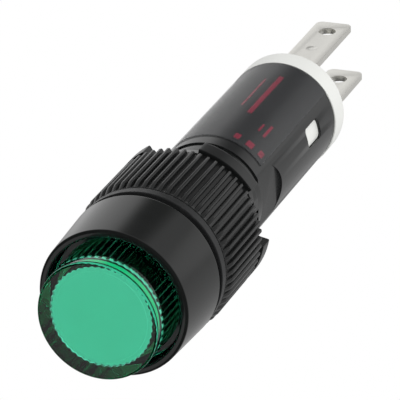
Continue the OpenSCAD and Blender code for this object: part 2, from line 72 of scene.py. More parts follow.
# ---------------------------------------------------------------- camera
def aim_camera(target, azimuth, elevation, roll, distance, focal_length):
    """Camera on the front right, azimuth counted from -Y towards +X, target in millimetres."""
    az, el = math.radians(azimuth), math.radians(elevation)
    back = Vector((math.cos(el) * math.sin(az), -math.cos(el) * math.cos(az), math.sin(el)))
    level_up = (Vector((0, 0, 1)) - back.z * back).normalized()
    level_right = level_up.cross(back)
    up = math.cos(roll) * level_up + math.sin(roll) * level_right
    right = up.cross(back)
    data = bpy.data.cameras.new("studio_camera")
    data.lens = focal_length
    data.sensor_width = 36
    data.clip_start = 0.01
    camera = bpy.data.objects.new("studio_camera", data)
    bpy.context.collection.objects.link(camera)
    place = Vector(target) * MM + back * distance * MM
    turn = Matrix((right, up, back)).transposed().to_4x4()
    camera.matrix_world = Matrix.Translation(place) @ turn
    bpy.context.scene.camera = camera


aim_camera((-0.90, 11.29, -0.67), 22.45, 24.86, math.radians(2.52), 230.9, 342)
bpy.context.scene.view_settings.view_transform = "Standard"


# ---------------------------------------------------------------- finishes
class Level:
    """A value in a finish; arithmetic on it adds Math nodes."""

    def __init__(self, finish, socket):
        self.finish = finish
        self.socket = socket

    def math(self, operation, *others):
        sockets = dict(enumerate((self, *others)))
        return self.finish.node("ShaderNodeMath", {"operation": operation}, sockets)

    def flipped(self, operation, other):
        return self.finish.node("ShaderNodeMath", {"operation": operation}, {0: other, 1: self})

    def __add__(self, other):
        return self.math("ADD", other)

    __radd__ = __add__

    def __sub__(self, other):
        return self.math("SUBTRACT", other)

    def __rsub__(self, other):
        return self.flipped("SUBTRACT", other)

    def __mul__(self, other):
        return self.math("MULTIPLY", other)

    __rmul__ = __mul__

    def __gt__(self, other):
        return self.math("GREATER_THAN", other)

    def __lt__(self, other):
        return self.math("LESS_THAN", other)

    def clip(self, low=0.0, high=1.0):
        return self.math("MAXIMUM", low).math("MINIMUM", high)

    def step(self, low, high):
        """0 below low, 1 above high, smooth between them."""
        return self.finish.node(
            "ShaderNodeMapRange",
            {"interpolation_type": "SMOOTHSTEP"},
            {"Value": self, "From Min": low, "From Max": high},
        )


class Finish:
    """A material of this lamp, or the studio's world, made of nodes."""

    def __init__(self, name, world=None):
        self.material = world or bpy.data.materials.new(name)
        self.material.use_nodes = True
        self.tree = self.material.node_tree
        self.tree.nodes.clear()
        self.output = self.tree.nodes.new("ShaderNodeOutputWorld" if world else "ShaderNodeOutputMaterial")
        self.where = self.node("ShaderNodeTexCoord", output="Object")

    def node(self, kind, settings=None, inputs=None, output=0):
        """Adds a node, sets it, feeds its sockets and gives one of its outputs."""
        made = self.tree.nodes.new(kind)
        for name, value in (settings or {}).items():
            setattr(made, name, value)
        for key, value in (inputs or {}).items():
            socket = made.inputs[key]
            if isinstance(value, Level):
                self.tree.links.new(value.socket, socket)
            elif isinstance(value, tuple) and len(value) < len(socket.default_value):
                socket.default_value = (*value, 1)
            else:
                socket.default_value = value
        return Level(self, made.outputs[output])

    def noise(self, scale, detail=3.0, stretch=(1, 1, 1), roughness=0.5):
        """Even noise about 0.5, in features per metre, squeezed along each axis by stretch."""
        spot = self.node("ShaderNodeMapping", None, {"Vector": self.where, "Scale": stretch})
        sockets = {"Vector": spot, "Scale": scale, "Detail": detail, "Roughness": roughness}
        return self.node("ShaderNodeTexNoise", None, sockets)

    def tint(self, a, b, factor):
        """Colour between a and b."""
        return self.node("ShaderNodeMix", {"data_type": "RGBA"}, {0: factor, 6: a, 7: b}, output=2)

    def axis(self, index):
        """One coordinate in millimetres: 0 across, 1 along the lamp, 2 up."""
        return self.node("ShaderNodeSeparateXYZ", None, {0: self.where}, output=index) * (1 / MM)

    def angle(self):
        """Angle about the lamp's axis in degrees, from +X towards +Z."""
        return self.axis(2).math("ARCTAN2", self.axis(0)) * math.degrees(1)

    def bump(self, height, depth):
        """Normal for a surface whose relief is depth metres deep."""
        return self.node("ShaderNodeBump", None, {"Height": height, "Distance": depth})

    def shader(self, **inputs):
        """Principled surface; names use _ for spaces."""
        sockets = {key.replace("_", " "): value for key, value in inputs.items()}
        return self.node("ShaderNodeBsdfPrincipled", None, sockets)

    def white_to_the_eye(self, lit, seen):
        """The shader lit as light falls, but seen in the camera, in gloss and through clear plastic."""
        kinds = ("Camera", "Glossy", "Transmission")
        camera, gloss, through = (
            self.node("ShaderNodeLightPath", output=f"Is {kind} Ray") for kind in kinds
        )
        factor = camera.math("MAXIMUM", gloss.math("MAXIMUM", through))
        return self.node("ShaderNodeMixShader", None, {0: factor, 1: lit, 2: seen})

    def surface(self, shader):
        self.tree.links.new(shader.socket, self.output.inputs["Surface"])
        return self.material


def plastic(name, dark, light, roughness, spread, grain, relief):
    """Moulded plastic: two close shades, uneven gloss, faint moulding grain and handling scuffs."""
    f = Finish(name)
    cloud = f.noise(420, 3)
    fine = f.noise(grain, 4)
    scuff = f.noise(1500, 5, (1, 0.12, 1), 0.65).step(0.62, 0.78)
    color = f.tint(dark, light, (cloud * 0.75 + scuff * 0.35).clip())
    gloss = roughness + (cloud - 0.5) * spread + scuff * spread * 0.9
    return f.surface(
        f.shader(
            Base_Color=color,
            Roughness=gloss.clip(0.03, 1),
            Normal=f.bump(fine * 0.7 + cloud * 0.3, relief),
        )
    )


def lens_green():
    """Clear green plastic, tinted in its depth, with faint moulding waves."""
    f = Finish("clear_green")
    wave = f.noise(700, 2)
    glass = f.shader(
        Base_Color=f.tint((0.45, 0.955, 0.81), (0.50, 0.97, 0.84), wave),
        Roughness=(0.004 + wave * 0.012).clip(),
        Transmission_Weight=1.0,
        IOR=1.5,
        Normal=f.bump(wave, 3e-7),
    )
    depth = f.node(
        "ShaderNodeVolumeAbsorption", None, {"Color": (0.10, 0.90, 0.73), "Density": 560.0}
    )
    f.tree.links.new(depth.socket, f.output.inputs["Volume"])
    return f.surface(glass)


def frosted_white():
    f = Finish("frosted_white")
    grain = f.noise(5200, 4)
    cloud = f.noise(520, 2)
    shade = (grain * 0.4 + cloud * 0.6).clip()
    return f.surface(
        f.shader(
            Base_Color=f.tint((0.88, 0.92, 0.89), (0.95, 0.97, 0.95), shade),
            Roughness=(0.45 + grain * 0.2).clip(),
            Normal=f.bump(grain, 4e-6),
        )
    )


def rubber():
    f = Finish("rubber")
    grain = f.noise(6000, 5)
    dust = f.noise(900, 4).step(0.55, 0.8)
    shade = (dust * 0.6 + grain * 0.2).clip()
    return f.surface(
        f.shader(
            Base_Color=f.tint((0.014, 0.014, 0.014), (0.05, 0.05, 0.048), shade),
            Roughness=(0.62 + grain * 0.25).clip(),
            Normal=f.bump(grain, 6e-6),
        )
    )


def blackened_steel():
    """Blackened sheet steel: blanking lines round the rim and a satin face."""
    f = Finish("blackened_steel")
    grain = f.noise(3800, 4, (1, 3, 1))
    rub = f.noise(1300, 5).step(0.58, 0.8)
    shade = (rub * 0.55 + grain * 0.12).clip()
    return f.surface(
        f.shader(
            Base_Color=f.tint((0.022, 0.023, 0.024), (0.10, 0.10, 0.10), shade),
            Metallic=0.35,
            Roughness=(0.30 + grain * 0.18).clip(),
            Normal=f.bump(grain, 4e-6),
        )
    )


def tinned_brass(name="tinned_brass", dimple_y=None):
    """Tin plate over brass: streaks along the strip, small dents, worn spots and a pressed dimple."""
    f = Finish(name)
    streak = f.noise(2600, 5, (1, 0.06, 1), 0.6)
    cloud = f.noise(650, 3)
    worn = f.noise(1900, 4).step(0.66, 0.85)
    dish = 0.0
    if dimple_y is not None:
        across, along = f.axis(0), f.axis(1) - dimple_y
        dish = 1 - (across * across + along * along).step(0.01, 0.16)
    shade = (streak * 0.5 + cloud * 0.6).clip()
    color = f.tint((0.80, 0.785, 0.735), (0.95, 0.94, 0.895), shade)
    return f.surface(
        f.shader(
            Base_Color=f.tint(color, (0.80, 0.73, 0.58), worn * 0.3),
            Metallic=0.9,
            Roughness=(0.28 + streak * 0.14 + cloud * 0.1).clip(),
            Normal=f.bump((streak * 0.5 + cloud) * 0.09 - dish, 1e-4),
        )
    )


def label_film():
    """Clear film with a few plain printed fields, glossy over the body."""
    f = Finish("label_film")
    angle, along = f.angle(), f.axis(1)
    wave = f.noise(520, 2)

    def field(a0, a1, y0, y1):
        """1 inside a patch between two angles in degrees and two places along the lamp."""
        soft = 0.04
        across = angle.step(a0, a0 + 1) * (1 - angle.step(a1 - 1, a1))
        return across * along.step(y0, y0 + soft) * (1 - along.step(y1 - soft, y1))

    blocks = field(37, 44, 12.1, 12.75) + field(50, 59, 12.0, 12.7) + field(66, 73, 12.1, 12.75)
    bars = field(48, 52, 14.0, 15.6) + field(56, 59, 14.2, 15.2)
    bars = bars + field(74, 80, 15.6, 21.4) + field(88, 91, 16.4, 20.6)
    worn = f.noise(2600, 3).step(0.25, 0.5)
    print_ = ((blocks + bars) * (0.72 + worn * 0.28)).clip()
    clear = f.tint((0.055, 0.057, 0.06), (0.075, 0.077, 0.08), wave)
    ink = f.tint((0.23, 0.03, 0.055), (0.30, 0.045, 0.075), wave)
    return f.surface(
        f.shader(
            Base_Color=f.tint(clear, ink, print_),
            Roughness=(0.07 + wave * 0.08 + print_ * 0.12).clip(),
            Alpha=(0.42 + print_ * 0.3).clip(),
            Normal=f.bump(wave, 2e-6),
        )
    )


def board_green():
    f = Finish("board_green")
    sockets = {"Vector": f.where, "Scale": 900.0, "Distortion": 1.2}
    weave = f.node("ShaderNodeTexWave", {"wave_type": "BANDS"}, sockets)
    cloud = f.noise(900, 3)
    return f.surface(
        f.shader(
            Base_Color=f.tint((0.02, 0.11, 0.05), (0.05, 0.20, 0.10), cloud * 0.7),
            Roughness=(0.32 + cloud * 0.2).clip(),
            Normal=f.bump(weave * 0.5 + cloud, 5e-6),
        )
    )


def banded_resistor():
    """Tan body with four colour bands that run round it."""
    f = Finish("banded_resistor")
    along = f.axis(1)
    low, high = span("series_resistor")
    length = high[1] - low[1]
    color = f.tint((0.62, 0.47, 0.30), (0.72, 0.56, 0.37), f.noise(2600, 3))
    half_band = 0.045
    bands = (
        (0.16, (0.30, 0.03, 0.02)),
        (0.36, (0.26, 0.03, 0.22)),
        (0.54, (0.14, 0.05, 0.02)),
        (0.84, (0.60, 0.42, 0.08)),
    )
    for place, band in bands:
        start = low[1] + length * (place - half_band)
        end = low[1] + length * (place + half_band)
        color = f.tint(color, band, (along > start) * (along < end))
    gloss = (0.3 + f.noise(3000, 3) * 0.15).clip()
    return f.surface(f.shader(Base_Color=color, Roughness=gloss, Normal=f.bump(f.noise(3000), 4e-6)))


def solder():
    f = Finish("solder")
    cloud = f.noise(2600, 4)
    return f.surface(
        f.shader(
            Base_Color=f.tint((0.55, 0.56, 0.56), (0.76, 0.76, 0.75), cloud),
            Metallic=0.95,
            Roughness=(0.2 + cloud * 0.25).clip(),
            Normal=f.bump(cloud, 2e-5),
        )
    )


def lamp_epoxy():
    f = Finish("lamp_epoxy")
    wave = f.noise(900, 2)
    return f.surface(
        f.shader(
            Base_Color=f.tint((0.50, 0.88, 0.55), (0.60, 0.94, 0.64), wave),
            Roughness=(0.08 + wave * 0.08).clip(),
            Transmission_Weight=0.85,
            IOR=1.52,
            Normal=f.bump(wave, 2e-6),
        )
    )


clear_green = lens_green()
diffuser_white = frosted_white()
seal_rubber = rubber()
bezel_black = plastic(
    "bezel_black", (0.0055, 0.0062, 0.006), (0.012, 0.013, 0.0125),
    0.13, 0.10, 2400, 1.6e-6,
)
nut_black = plastic(
    "nut_black", (0.007, 0.0075, 0.0075), (0.016, 0.017, 0.017),
    0.30, 0.14, 3600, 4e-6,
)
body_grey = plastic(
    "body_grey", (0.010, 0.0105, 0.0108), (0.020, 0.021, 0.021),
    0.20, 0.12, 3000, 8e-7,
)
moulded_white = plastic(
    "moulded_white", (0.80, 0.81, 0.775), (0.88, 0.885, 0.86),
    0.42, 0.12, 2800, 3e-6,
)
washer_black = blackened_steel()
tin = tinned_brass()
printed_film = label_film()
case_black = plastic(
    "case_black", (0.014, 0.014, 0.015), (0.03, 0.03, 0.031),
    0.5, 0.15, 5000, 6e-6,
)


# ---------------------------------------------------------------- mesh tools
def piece(name, mesh, finish, body, slot, *nodes, sharp=32):
    """Puts a mesh in the scene as a piece that rides on a body and stands for CAD nodes."""
    if sharp:
        mesh.shade_smooth()
        mesh.set_sharp_from_angle(angle=math.radians(sharp))
    obj = bpy.data.objects.new(name, mesh)
    bpy.context.collection.objects.link(obj)
    mesh.materials.clear()
    mesh.materials.append(finish)
    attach(obj, body)
    if nodes:
        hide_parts(*nodes)


def closed_mesh(name, points, faces, merge=1e-4):
    """Mesh from points in millimetres, with its doubles merged and its faces outwards."""
    mesh = bpy.data.meshes.new(name)
    mesh.from_pydata([tuple(p) for p in points], [], faces)
    work = bmesh.new()
    work.from_mesh(mesh)
    bmesh.ops.remove_doubles(work, verts=work.verts, dist=merge)
    bmesh.ops.recalc_face_normals(work, faces=work.faces)
    bmesh.ops.scale(work, vec=(MM, MM, MM), verts=work.verts)
    work.to_mesh(mesh)
    work.free()
    return mesh


def braced(profile, closed=True, reach=0.03):
    """The profile with points near the ends of its long runs, which keep the shading flat there."""
    out = []
    count = len(profile)
    for i, here in enumerate(profile):
        out.append(here)
        if i == count - 1 and not closed:
            break
        there = profile[(i + 1) % count]
        run = math.dist(here, there)
        if run > 4 * reach:
            for t in (reach / run, 1 - reach / run):
                out.append(tuple(a + (b - a) * t for a, b in zip(here, there)))
    return out


def filleted(corners, steps=5, closed=True):
    """Profile from corners (radius, y, fillet), each fillet drawn as an arc."""
    out = []
    count = len(corners)
    for i, (r, y, fillet) in enumerate(corners):
        here = np.array((r, y), float)
        if fillet <= 0:
            out.append(tuple(here))
            continue
        before = np.array(corners[(i - 1) % count][:2], float) - here
        after = np.array(corners[(i + 1) % count][:2], float) - here
        before, after = before / np.linalg.norm(before), after / np.linalg.norm(after)
        half = math.acos(max(-1, min(1, float(before @ after)))) / 2
        reach = fillet / math.tan(half)
        middle = (before + after) / np.linalg.norm(before + after)
        centre = here + middle * fillet / math.sin(half)
        start, end = here + before * reach - centre, here + after * reach - centre
        for k in range(steps + 1):
            t = k / steps
            way = start * (1 - t) + end * t
            out.append(tuple(centre + way / np.linalg.norm(way) * fillet))
    return braced(out, closed)


def spun(name, profile, count=192, shape=None, closed=True):
    """Turns a profile of (radius, y) about the axis; shape(x, y, z, station) may move a ring."""
    turn = 2 * np.pi * np.arange(count) / count
    points, rings = [], []
    for station, (r, y) in enumerate(profile):
        if r <= 1e-6:
            rings.append([len(points)])
            points.append((0, y, 0))
            continue
        x, z, along = r * np.cos(turn), r * np.sin(turn), np.full(count, float(y))
        if shape:
            x, along, z = shape(x, along, z, station)
        rings.append(list(range(len(points), len(points) + count)))
        points.extend(zip(x, along, z))
    faces = []
    pairs = list(zip(rings, rings[1:]))
    if closed and len(rings[0]) > 1:
        pairs.append((rings[-1], rings[0]))
    for a, b in pairs:
        for k in range(count):
            n = (k + 1) % count
            if len(a) == 1 and len(b) == 1:
                continue
            if len(a) == 1:
                faces.append((a[0], b[n], b[k]))
            elif len(b) == 1:
                faces.append((a[k], a[n], b[0]))
            else:
                faces.append((a[k], a[n], b[n], b[k]))
    return closed_mesh(name, points, faces)


def sector(profile, start, end, steps):
    """Solid swept by a closed profile between two angles, with flat ends: points and faces."""
    points, faces = [], []
    count = len(profile)
    for k in range(steps + 1):
        a = math.radians(start + (end - start) * k / steps)
        points += [(r * math.cos(a), y, r * math.sin(a)) for r, y in profile]
    for k in range(steps):
        for i in range(count):
            j = (i + 1) % count
            faces.append((k * count + i, k * count + j, (k + 1) * count + j, (k + 1) * count + i))
    faces.append(tuple(range(count)))
    faces.append(tuple(steps * count + i for i in range(count)))
    return points, faces


def finished(obj):
    """The object's mesh with its modifiers worked in, as a new plain mesh."""
    graph = bpy.context.evaluated_depsgraph_get()
    mesh = bpy.data.meshes.new_from_object(obj.evaluated_get(graph))
    old = obj.data
    bpy.data.objects.remove(obj)
    if old.users == 0:
        bpy.data.meshes.remove(old)
    return mesh


def eased(mesh, width):
    """Rounds the mesh's edges over with a bevel of the given width in millimetres."""
    mesh.shade_smooth()
    obj = bpy.data.objects.new("edge_work", mesh)
    bpy.context.collection.objects.link(obj)
    bevel = obj.modifiers.new("round_over", "BEVEL")
    bevel.width = width * MM
    bevel.segments = 2
    bevel.limit_method = "ANGLE"
    bevel.angle_limit = math.radians(38)
    bevel.use_clamp_overlap = True
    even = obj.modifiers.new("flat_faces", "WEIGHTED_NORMAL")
    even.keep_sharp = True
    return finished(obj)


def merged_copy(node):
    """A copy of a CAD node's mesh with its triangles joined and its flat faces made whole."""
    mesh = frame["nodes"][node].data.copy()
    work = bmesh.new()
    work.from_mesh(mesh)
    bmesh.ops.remove_doubles(work, verts=work.verts, dist=2e-7)
    bmesh.ops.dissolve_limit(
        work, angle_limit=math.radians(0.4), verts=work.verts, edges=work.edges,
        use_dissolve_boundaries=False,
    )
    work.to_mesh(mesh)
    work.free()
    return mesh


# ---------------------------------------------------------------- node trees for what repeats
class Tree:
    """A Geometry Nodes tree with named inputs."""

    def __init__(self, name):
        self.group = bpy.data.node_groups.new(name, "GeometryNodeTree")
        self.group.is_modifier = True
        for way in ("OUTPUT", "INPUT"):
            self.group.interface.new_socket("Geometry", in_out=way, socket_type="NodeSocketGeometry")
        self.ids = {}
        self.start = self.group.nodes.new("NodeGroupInput")
        self.end = self.group.nodes.new("NodeGroupOutput")

    def size(self, name, kind="Float"):
        self.ids[name] = self.group.interface.new_socket(
            name, in_out="INPUT", socket_type="NodeSocket" + kind
        ).identifier
        return self.start.outputs[name]

    def add(self, kind, settings=None, output=0, **inputs):
        """Adds a node and gives an output; inputs are by name with _ for spaces, or _0, _1 by place."""
        made = self.group.nodes.new(kind)
        for name, value in (settings or {}).items():
            setattr(made, name, value)
        for key, value in inputs.items():
            socket = made.inputs[int(key[1:]) if key[0] == "_" else key.replace("_", " ")]
            if isinstance(value, bpy.types.NodeSocket):
                self.group.links.new(value, socket)
            else:
                socket.default_value = value
        return made.outputs[output]

    def math(self, operation, a, b=0.0):
        return self.add("ShaderNodeMath", {"operation": operation}, _0=a, _1=b)

    def close(self, geometry, finish):
        real = self.add("GeometryNodeRealizeInstances", Geometry=geometry)
        done = self.add("GeometryNodeSetMaterial", Geometry=real, Material=finish)
        self.group.links.new(done, self.end.inputs[0])

    def grow(self, mesh, **values):
        """Runs the tree on a mesh with these inputs and gives the plain result."""
        obj = bpy.data.objects.new("tree_work", mesh)
        bpy.context.collection.objects.link(obj)
        modifier = obj.modifiers.new("tree", "NODES")
        modifier.node_group = self.group
        for name, value in values.items():
            modifier[self.ids[name]] = value
        return finished(obj)


def ring_tree():
    """Copies of one mesh in an even ring about the lamp's axis."""
    t = Tree("ring_of_copies")
    count, finish = t.size("Count", "Int"), t.size("Finish", "Material")
    first = t.size("First Angle")
    spots = t.add("GeometryNodeMeshLine", Count=count, Offset=(0, 0, 0))
    index = t.add("GeometryNodeInputIndex")
    angle = t.math("ADD", t.math("MULTIPLY", index, t.math("DIVIDE", 2 * math.pi, count)), first)
    turn = t.add("ShaderNodeCombineXYZ", Y=t.math("MULTIPLY", angle, -1.0))
    one = t.start.outputs[0]
    copies = t.add("GeometryNodeInstanceOnPoints", Points=spots, Instance=one, Rotation=turn)
    t.close(copies, finish)
    return t


ring = ring_tree()


# ---------------------------------------------------------------- lens, seal and diffuser
def zigzag(angle, teeth, r_out, r_in):
    """Radius of a ring of softly pointed flutes at these angles, r_out at angle 0."""
    wave = np.abs(((angle * teeth / (2 * np.pi)) % 1) * 2 - 1)
    soft = 0.5 - 0.5 * np.cos(np.pi * wave)
    wave = 0.65 * wave + 0.35 * soft
    return r_in + (r_out - r_in) * wave


lens_low, lens_high = span("lens")
disc_low, disc_high = span("diffuser_disc")
lens_r, flange_r = 3.7, lens_high[0]
flute_out, flute_in, seat_in, teeth = 3.18, 2.91, 3.1, 48
lens_face, lens_back = lens_low[1], lens_high[1]
lens_inside = disc_low[1]
flange_front, flange_back = -3.65, -2.95


def make_lens():
    """Clear cup with a flange, its bore fluted all round."""
    outside = filleted(
        [
            (0, lens_face, 0), (lens_r, lens_face, 0.14), (lens_r, flange_front, 0.05),
            (flange_r, flange_front, 0.06), (flange_r, flange_back, 0.05),
            (3.5, flange_back, 0.04), (3.5, lens_back, 0.05), (3.3, lens_back, 0),
        ],
        closed=False,
    )
    # (y, tip radius, groove radius) from the rear rim to the floor; the flutes end short of the disc
    wall = [(lens_back, flute_in + 0.03, flute_out), (lens_back - 0.03, flute_in, flute_out)]
    wall += [(y, flute_in, flute_out) for y in (-4.2, lens_inside + 0.44)]
    wall += [(lens_inside + up, seat_in, flute_out) for up in (0.36, 0.33, 0.04)]
    wall += [(lens_inside + up, seat_in - cut, flute_out - cut) for up, cut in ((0.015, 0.01), (0, 0.03))]
    first = len(outside)
    inside = [(3.05, y) for y, _, _ in wall] + [(2.95, lens_inside), (0, lens_inside)]

    def flutes(x, y, z, station):
        if not first <= station < first + len(wall):
            return x, y, z
        angle = np.arctan2(z, x)
        _, tip, groove = wall[station - first]
        r = zigzag(angle, teeth, groove, tip)
        return r * np.cos(angle), y, r * np.sin(angle)

    return spun("lens", outside + inside, 384, flutes, closed=False)


piece("lens_moulding", make_lens(), clear_green, "barrel", "lens", "lens", sharp=28)


def make_disc():
    """White disc with a raised smooth middle and shallow teeth round its edge."""
    front, back = disc_low[1] + 0.02, disc_high[1]
    rise, ease, rim_r, fit_gap = 0.035, 0.03, 2.9, 0.04
    edge = [(-ease, front + rise), (0, front + rise + ease), (0, back - ease), (-ease, back)]
    profile = [(0, front), (2.80, front), (2.84, front + rise)] + [(rim_r + d, y) for d, y in edge]
    profile += [(2.6, back), (0, back)]

    def toothed(x, y, z, station):
        if not 3 <= station <= 6:
            return x, y, z
        angle = np.arctan2(z, x)
        r = np.hypot(x, z) - rim_r + zigzag(angle, teeth, flute_out, seat_in) - fit_gap
        return r * np.cos(angle), y, r * np.sin(angle)

    return spun("disc", profile, 384, toothed, closed=False)


piece("diffuser", make_disc(), diffuser_white, "barrel", "diffuser", "diffuser_disc")


# ---------------------------------------------------------------- bezel and threaded barrel
bezel_low, bezel_high = span("bezel_barrel")
bezel_front, spigot_end = bezel_low[1], bezel_high[1]
body_low, body_high = span("body_tube")
body_front = body_low[1]
thread_end = 9.7
root_r, half_flats = 3.59, 3.5


def make_bezel():
    """Bezel, thread root with its two flats, neck and hollow spigot in one turned piece."""
    profile = filleted(
        [
            (4.6, bezel_front, 0.17), (4.83, -0.02, 0.16), (root_r, -0.02, 0.05), (root_r, thread_end, 0.08),
            (3.45, thread_end, 0), (3.45, body_front, 0.06), (2.95, body_front, 0), (2.95, spigot_end, 0.08),
            (2.5, spigot_end, 0.05), (2.5, 3.12, 0), (2.9, 3.12, 0), (2.9, -1.0, 0.04), (3.55, -1.0, 0.05),
            (3.55, -2.6, 0.05), (4.15, -2.6, 0.08), (4.15, bezel_front, 0.12),
        ],
        5,
    )

    def flats(x, y, z, station):
        cut = (y > 0.05) & (y < thread_end + 0.01)
        return np.where(cut, np.clip(x, -half_flats, half_flats), x), y, z

    return spun("bezel", profile, 256, flats)


piece("bezel_barrel_body", make_bezel(), bezel_black, "barrel", "bezel", "bezel_barrel", sharp=30)


def ridge_section(depth, root, crest, buried=0.12):
    """Closed section of the thread's ridge, sunk a little into the barrel, as a loop of edges."""
    above = [(0, -root / 2), (depth, -crest / 2), (depth, crest / 2), (0, root / 2)]
    corners = above + [(-buried, root / 2), (-buried, -root / 2)]
    edges = [(i, (i + 1) % len(corners)) for i in range(len(corners))]
    mesh = bpy.data.meshes.new("ridge")
    mesh.from_pydata([(p * MM, q * MM, 0) for p, q in corners], edges, [])
    return mesh


def make_thread():
    """Helical ridge swept along a spiral and held between the barrel's flats."""
    t = Tree("screw_thread")
    pitch, turns, radius = t.size("Pitch"), t.size("Turns"), t.size("Root Radius")
    start, flats, finish = t.size("Start"), t.size("Across Flats"), t.size("Finish", "Material")
    profile = t.add("GeometryNodeMeshToCurve", Mesh=t.start.outputs[0])
    helix = t.add(
        "GeometryNodeCurveSpiral", Resolution=72, Rotations=turns,
        Start_Radius=radius, End_Radius=radius, Height=t.math("MULTIPLY", pitch, turns),
    )
    laid = t.add(
        "GeometryNodeTransform", Geometry=helix, Rotation=(-math.pi / 2, 0, 0),
        Translation=t.add("ShaderNodeCombineXYZ", Y=start),
    )
    swept = t.add("GeometryNodeCurveToMesh", Curve=laid, Profile_Curve=profile, Fill_Caps=True)
    where = t.add("GeometryNodeInputPosition")
    parts = [t.add("ShaderNodeSeparateXYZ", output=i, Vector=where) for i in range(3)]
    half = t.math("MULTIPLY", flats, 0.5)
    held = t.math("MINIMUM", t.math("MAXIMUM", parts[0], t.math("MULTIPLY", half, -1.0)), half)
    moved = t.add(
        "GeometryNodeSetPosition", Geometry=swept,
        Position=t.add("ShaderNodeCombineXYZ", X=held, Y=parts[1], Z=parts[2]),
    )
    t.close(moved, finish)
    return t.grow(
        ridge_section(0.36, 0.56, 0.12),
        **{
            "Pitch": 0.75 * MM, "Turns": 12.0, "Root Radius": root_r * MM, "Start": 0.45 * MM,
            "Across Flats": 2 * half_flats * MM, "Finish": bezel_black,
        },
    )


piece("barrel_thread", make_thread(), bezel_black, "barrel", "bezel", "bezel_barrel", sharp=30)


# ---------------------------------------------------------------- gasket, washer and ring nut
def make_gasket():
    """Flat ring of rubber behind the bezel."""
    low, high = span("panel_gasket")
    outer, inner = high[0], 4.02
    corners = [(outer, low[1], 0.1), (outer, high[1], 0.1), (inner, high[1], 0.05), (inner, low[1], 0.05)]
    return spun("gasket", filleted(corners, 3), 160)


piece("gasket", make_gasket(), seal_rubber, "barrel", "seal", "panel_gasket")


bore_r = 3.99


def make_washer():
    """Thin ring whose bore has two flats that key it to the barrel."""
    low, high = span("lock_washer")
    corners = [
        (high[0], low[1], 0.07), (high[0], high[1], 0.1), (bore_r, high[1], 0.04), (bore_r, low[1], 0.04),
    ]
    profile = filleted(corners, 4)
    inner = [i for i, (r, _) in enumerate(profile) if r < bore_r + 0.11]
    half_key = half_flats + 0.04

    def keyed(x, y, z, station):
        if station in inner:
            return np.clip(x, -half_key, half_key), y, z
        return x, y, z

    return spun("washer", profile, 192, keyed)


piece("washer", make_washer(), washer_black, "washer", "black_metal", "lock_washer")

nut_low, nut_high = span("lock_nut")
nut_r, nut_front, nut_back = nut_high[0], nut_low[1], nut_high[1]
collar_front, groove_front = nut_back - 1.1, nut_back - 1.1 - 0.35
slot_floor = collar_front - 0.175
rib_root = nut_r - 0.25


def make_nut_core():
    """Ring under the ribs, with the undercut in front of the collar."""
    undercut_r = nut_r - 0.3
    corners = [
        (nut_r - 0.2, nut_front, 0.05), (rib_root, nut_front + 0.3, 0), (rib_root, groove_front, 0),
        (undercut_r, groove_front, 0.03), (undercut_r, slot_floor, 0), (bore_r, slot_floor, 0.04),
        (bore_r, nut_front, 0.1),
    ]
    return spun("nut_core", filleted(corners, 4), 240)


piece("nut_core", make_nut_core(), nut_black, "nut", "nut_plastic", "lock_nut")


def make_ribs():
    """One rounded rib at angle 0, then a ring of sixty."""
    half_land, root_half = 0.075, 0.155
    height, buried = 0.25, 0.14
    section = [(-buried, -root_half), (0.0, -root_half), (0.13, -0.125), (0.215, -0.10)]
    section += [(height, -half_land + 0.02)]
    section += [(p, -q) for p, q in reversed(section)]
    # (y, drop of the crest) from the tapered front to the undercut
    stations = [(nut_front, -0.2), (nut_front + 0.3, -0.1), (nut_front + 0.6, -0.012)]
    stations += [(nut_front + 0.7, 0), (nut_front + 2.5, 0), (groove_front - 0.06, 0)]
    stations += [(groove_front - 0.015, -0.02), (groove_front, -0.06)]
    points, faces, count = [], [], len(section)
    for y, drop in stations:
        for p, q in section:
            points.append((rib_root + (p if p <= 0 else max(0.0, p + drop * p / height)), y, q))
    for k in range(len(stations) - 1):
        for i in range(count):
            j = (i + 1) % count
            faces.append((k * count + i, k * count + j, (k + 1) * count + j, (k + 1) * count + i))
    faces += [tuple(range(count)), tuple((len(stations) - 1) * count + i for i in range(count))]
    mesh = closed_mesh("rib", points, faces, merge=1e-5)
    mesh.shade_smooth()
    return ring.grow(mesh, **{"Count": 60, "Finish": nut_black, "First Angle": math.radians(3.0)})


piece("nut_ribs", make_ribs(), nut_black, "nut", "nut_plastic", "lock_nut", sharp=40)


def make_lugs():
    """One rounded lug of the slotted collar, then the ring of four."""
    slot_angle, clock = 43, 10
    seat, inset = slot_floor - 0.02, nut_r - 0.32
    corners = [
        (nut_r, collar_front, 0.06), (nut_r, nut_back, 0.12), (bore_r, nut_back, 0.06),
        (bore_r, seat, 0), (inset, seat, 0), (inset, collar_front, 0),
    ]
    profile = filleted(corners, 3)
    points, faces = sector(profile, clock + slot_angle / 2, clock + 90 - slot_angle / 2, 20)
    mesh = eased(closed_mesh("lug", points, faces), 0.05)
    return ring.grow(mesh, **{"Count": 4, "Finish": nut_black, "First Angle": 0.0})


piece("nut_lugs", make_lugs(), nut_black, "nut", "nut_plastic", "lock_nut")


# ---------------------------------------------------------------- body, film, base and blades
def make_body():
    """Body tube whose milled flats are a quarter as deep as the CAD node's."""
    mesh = merged_copy("body_tube")
    outer = body_high[0] * MM
    flats_end, deepest, kept_depth = (body_front + 3.2) * MM, 0.36 * MM, 0.25
    for v in mesh.vertices:
        r = math.hypot(v.co.x, v.co.z)
        if v.co.y < flats_end and outer - deepest < r < outer - 1e-6:
            grown = outer - (outer - r) * kept_depth
            v.co.x, v.co.z = v.co.x * grown / r, v.co.z * grown / r
    return eased(mesh, 0.03)


piece("body_shell", make_body(), body_grey, "barrel", "body_plastic", "body_tube", sharp=None)
piece(
    "rear_base", eased(merged_copy("terminal_base"), 0.05), moulded_white,
    "barrel", "white_plastic", "terminal_base", sharp=None,
)

